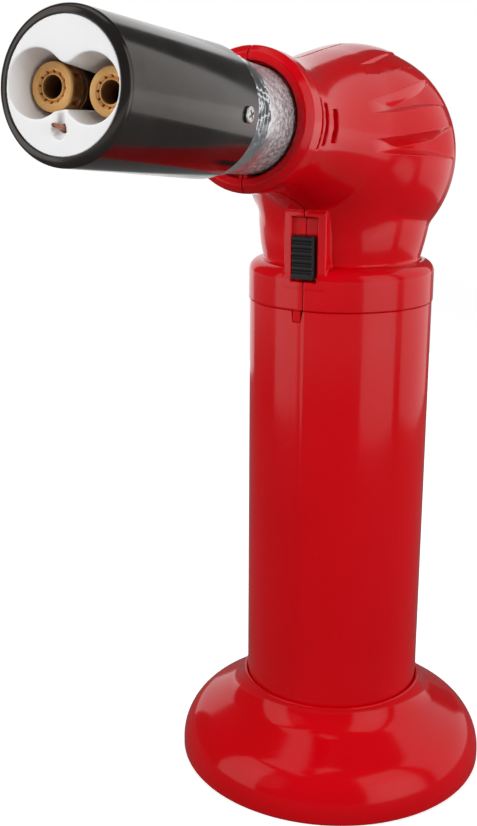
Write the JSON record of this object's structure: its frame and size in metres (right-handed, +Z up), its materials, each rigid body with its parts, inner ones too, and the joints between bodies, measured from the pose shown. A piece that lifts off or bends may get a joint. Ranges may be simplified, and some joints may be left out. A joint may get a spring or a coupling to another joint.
{
  "type": "butane torch",
  "caption": "Handheld gas torch: a tank in a round sleeve on a flared stand, and a push-button head with a tilted twin-burner barrel.",
  "frame": {"origin": "middle of the stand's underside, on the tank's vertical axis", "axes": "+Z up along the tank, -Y the way the barrel points, +X towards the user's left when the barrel points away from them"},
  "size_m": [0.0852, 0.1669, 0.199],
  "materials": {
    "red_plastic": "glossy moulded red plastic with fine orange peel",
    "black_plastic": "matt moulded black plastic",
    "grey_plastic": "matt moulded grey plastic",
    "white_plastic": "natural nylon",
    "rubber": "matt black rubber",
    "brass": "turned brass, warmed by heat",
    "steel": "bright zinc-plated steel",
    "wire_black": "black silicone insulation",
    "wire_grey": "grey silicone insulation",
    "copper": "bare copper wire",
    "ceramic": "white smooth ceramic",
    "silver_sleeve": "bright thin foil-like metal with fine creases",
    "gunmetal": "polished black chrome"
  },
  "bodies": {
    "torch": {"base_stand": "red_plastic", "body_tube": "red_plastic", "fuel_tank": "white_plastic", "tank_lid": "white_plastic", "tank_seal": "rubber", "wick_tube": "white_plastic", "fill_valve_body": "brass", "fill_valve_spring": "steel", "outlet_valve_body": "brass", "valve_spring": "steel", "lever_clip": "steel", "lever_pin": "steel", "housing_left": "red_plastic", "housing_right": "red_plastic", "housing_screws": "steel", "piezo_body": "black_plastic", "piezo_spring": "steel", "igniter_wire": "wire_black", "ground_wire": "wire_grey", "igniter_electrode": "copper", "electrode_insulator": "ceramic", "gas_hose": "white_plastic", "gas_manifold": "brass", "gas_jets": "brass", "mixing_tube_left": "brass", "mixing_tube_right": "brass", "burner_bracket": "steel", "burner_head_left": "brass", "burner_head_right": "brass", "ceramic_nozzle": "ceramic", "heat_sleeve": "silver_sleeve", "barrel": "gunmetal", "barrel_screws": "steel"},
    "button": {"thumb_button": "black_plastic", "push_rod": "grey_plastic", "piezo_plunger": "grey_plastic"},
    "gas_lever": {"gas_lever": "steel"},
    "valve_stem": {"valve_stem": "steel", "valve_seal": "rubber"},
    "flame_lever": {"flame_lever": "black_plastic"},
    "lock_slider": {"lock_slider": "black_plastic"},
    "fill_stem": {"fill_valve_stem": "steel", "fill_valve_seal": "rubber"}
  },
  "joints": [
    {"name": "button_press", "type": "slide", "parent": "torch", "child": "button", "axis": [0, -1, 0], "range_m": [0, 0.0045], "stiffness_N_per_m": 1200, "springref_m": -0.003, "deforming": ["piezo_spring"]},
    {"name": "lever_turn", "type": "hinge", "parent": "torch", "child": "gas_lever", "pos_m": [0, -0.008, 0.146], "axis": [1, 0, 0], "range_deg": [0, 15.5]},
    {"name": "stem_lift", "type": "slide", "parent": "torch", "child": "valve_stem", "axis": [0, 0, 1], "range_m": [0, 0.0022], "deforming": ["valve_spring"]},
    {"name": "flame_adjust", "type": "hinge", "parent": "torch", "child": "flame_lever", "pos_m": [0, 0, 0.1357], "axis": [0, 0, 1], "range_deg": [-30, 30]},
    {"name": "lock_slide", "type": "slide", "parent": "torch", "child": "lock_slider", "axis": [0, 0, 1], "range_m": [0, 0.004]},
    {"name": "fill_press", "type": "slide", "parent": "torch", "child": "fill_stem", "axis": [0, 0, 1], "range_m": [0, 0.002], "stiffness_N_per_m": 500, "springref_m": -0.002, "deforming": ["fill_valve_spring"]}
  ],
  "couplings": [
    {"joint": "lever_turn", "follows": "button_press", "rad_per_m": 60.1},
    {"joint": "stem_lift", "follows": "button_press", "ratio": 0.4888}
  ]
}
